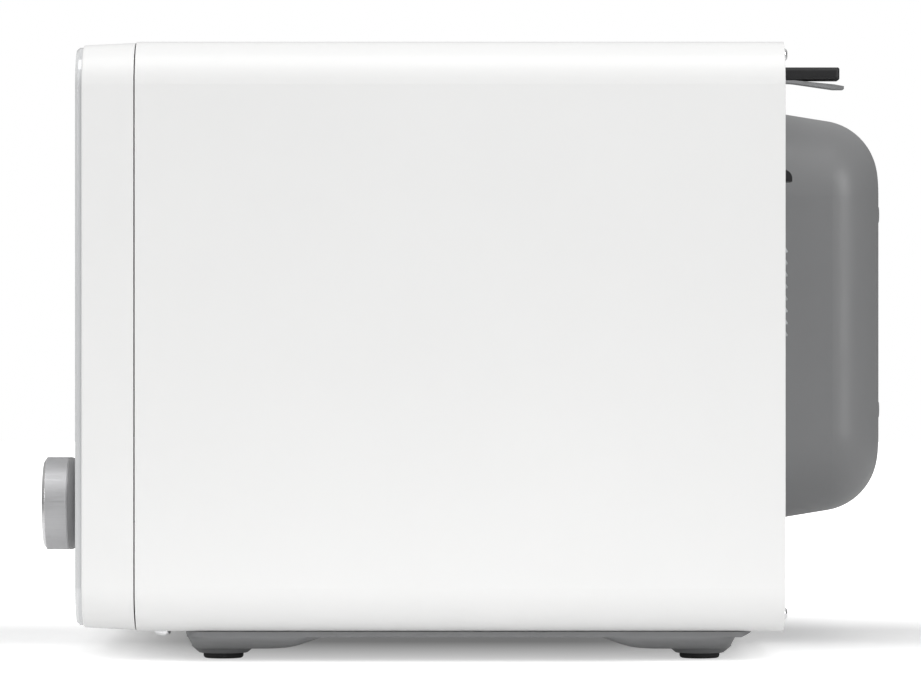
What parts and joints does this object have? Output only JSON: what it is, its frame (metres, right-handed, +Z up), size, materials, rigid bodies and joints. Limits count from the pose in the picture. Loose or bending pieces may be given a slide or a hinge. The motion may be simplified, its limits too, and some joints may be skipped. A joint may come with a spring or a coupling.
{
  "type": "combination microwave oven",
  "caption": "Countertop combination microwave oven with a front door hinged on the left, a push-turn knob, a release button, a turntable and a hot air fan under a rear cover.",
  "frame": {"origin": "centre of the footprint of the whole oven, from knob face to rear cover, on the surface it stands on", "axes": "+Z up, the door and the controls face -Y, +X is the side of the controls"},
  "size_m": [0.513, 0.4294, 0.306],
  "materials": {
    "white_paint": "satin",
    "white_plastic": "satin",
    "front_glass": "gloss",
    "clear_sheet": "gloss",
    "silver": "brushed",
    "chrome": "polished",
    "dark_grey_paint": "satin",
    "grey_paint": "satin",
    "black_plastic": "matte",
    "grey_plastic": "matte",
    "rubber": "matte",
    "zinc": "galvanised",
    "steel": "satin",
    "enamel": "satin enamel",
    "mica": "matt",
    "table_glass": "gloss",
    "board": "satin",
    "screen_black": "gloss",
    "iron": "laminated",
    "white_moulding": "matte"
  },
  "bodies": {
    "cabinet": {"cabinet_wrap": "white_paint", "front_plate": "white_paint", "rear_panel": "zinc", "base_plate": "dark_grey_paint", "foot_pads": "rubber", "base_screws": "chrome", "rear_screws": "chrome", "cover_screws": "dark_grey_paint", "fan_cover": "grey_paint", "wall_spacer": "black_plastic", "spacer_tongue": "zinc", "cord_gland": "black_plastic", "control_frame": "white_plastic", "control_glass": "front_glass", "display_module": "screen_black", "control_board": "board", "encoder_body": "grey_plastic", "lever_pin": "steel", "hinge_brackets": "zinc", "hinge_pins": "steel", "cavity": "enamel", "waveguide_cover": "mica", "oven_lamp": "white_moulding", "grill_element": "steel", "turntable_motor": "zinc", "fan_dish": "zinc", "conv_heater": "steel", "fan_motor": "iron", "waveguide": "zinc", "magnetron": "zinc", "transformer": "iron", "capacitor": "zinc", "fan_housing": "black_plastic", "latch_board": "white_moulding", "door_switches": "black_plastic", "filter_board": "board", "thermal_cutouts": "steel"},
    "door": {"door_frame": "white_plastic", "door_glass": "front_glass", "door_panel": "grey_paint", "door_screen": "dark_grey_paint", "inner_window": "clear_sheet", "choke_cover": "grey_plastic"},
    "latch": {"door_latch": "white_moulding"},
    "encoder_slide": {"encoder_slider": "grey_plastic"},
    "knob": {"knob_body": "silver", "knob_ring": "chrome", "knob_face": "silver", "knob_base": "grey_plastic", "encoder_shaft": "steel"},
    "release_button": {"open_button": "white_plastic"},
    "lever": {"release_lever": "grey_plastic"},
    "turntable": {"turntable_glass": "table_glass", "coupler": "white_moulding"},
    "ring": {"roller_ring": "white_moulding"},
    "wheel_1": {"roller_1": "white_moulding"},
    "wheel_2": {"roller_2": "white_moulding"},
    "wheel_3": {"roller_3": "white_moulding"},
    "hot_fan": {"conv_fan": "steel"},
    "cool_fan": {"cooling_fan": "grey_plastic"}
  },
  "joints": [
    {"name": "door_hinge", "type": "hinge", "parent": "cabinet", "child": "door", "pos_m": [-0.2485, -0.1763, 0.16], "axis": [0, 0, -1], "range_deg": [0, 100]},
    {"name": "latch_lift", "type": "slide", "parent": "door", "child": "latch", "axis": [0, 0, 1], "range_m": [-0.004, 0]},
    {"name": "knob_push", "type": "slide", "parent": "cabinet", "child": "encoder_slide", "axis": [0, 1, 0], "range_m": [0, 0.001], "stiffness_N_per_m": 2000, "springref_m": -0.0005},
    {"name": "knob_turn", "type": "hinge", "parent": "encoder_slide", "child": "knob", "pos_m": [0.19265, -0.2147, 0.0768], "axis": [0, 1, 0], "continuous": true},
    {"name": "button_press", "type": "slide", "parent": "cabinet", "child": "release_button", "axis": [0, 1, 0], "range_m": [0, 0.004], "stiffness_N_per_m": 600, "springref_m": -0.002},
    {"name": "lever_turn", "type": "hinge", "parent": "cabinet", "child": "lever", "pos_m": [0.14, -0.1747, 0.062], "axis": [1, 0, 0], "range_deg": [0, 9.2]},
    {"name": "turntable_spin", "type": "hinge", "parent": "cabinet", "child": "turntable", "pos_m": [-0.065, -0.0187, 0.06], "axis": [0, 0, 1], "continuous": true},
    {"name": "ring_spin", "type": "hinge", "parent": "cabinet", "child": "ring", "pos_m": [-0.065, -0.0187, 0.052], "axis": [0, 0, 1], "continuous": true},
    {"name": "wheel_1_spin", "type": "hinge", "parent": "ring", "child": "wheel_1", "pos_m": [-0.065, 0.0793, 0.0522], "axis": [0, 1, 0], "continuous": true},
    {"name": "wheel_2_spin", "type": "hinge", "parent": "ring", "child": "wheel_2", "pos_m": [-0.14987, -0.0677, 0.0522], "axis": [-0.866, -0.5, 0], "continuous": true},
    {"name": "wheel_3_spin", "type": "hinge", "parent": "ring", "child": "wheel_3", "pos_m": [0.01987, -0.0677, 0.0522], "axis": [0.866, -0.5, 0], "continuous": true},
    {"name": "hot_fan_spin", "type": "hinge", "parent": "cabinet", "child": "hot_fan", "pos_m": [-0.065, 0.1473, 0.16], "axis": [0, 1, 0], "continuous": true},
    {"name": "cool_fan_spin", "type": "hinge", "parent": "cabinet", "child": "cool_fan", "pos_m": [0.186, 0.1333, 0.158], "axis": [0, 1, 0], "continuous": true}
  ],
  "couplings": [
    {"joint": "lever_turn", "follows": "button_press", "rad_per_m": 40},
    {"joint": "ring_spin", "follows": "turntable_spin", "ratio": 0.5},
    {"joint": "wheel_1_spin", "follows": "turntable_spin", "ratio": -6.125},
    {"joint": "wheel_2_spin", "follows": "turntable_spin", "ratio": -6.125},
    {"joint": "wheel_3_spin", "follows": "turntable_spin", "ratio": -6.125}
  ]
}
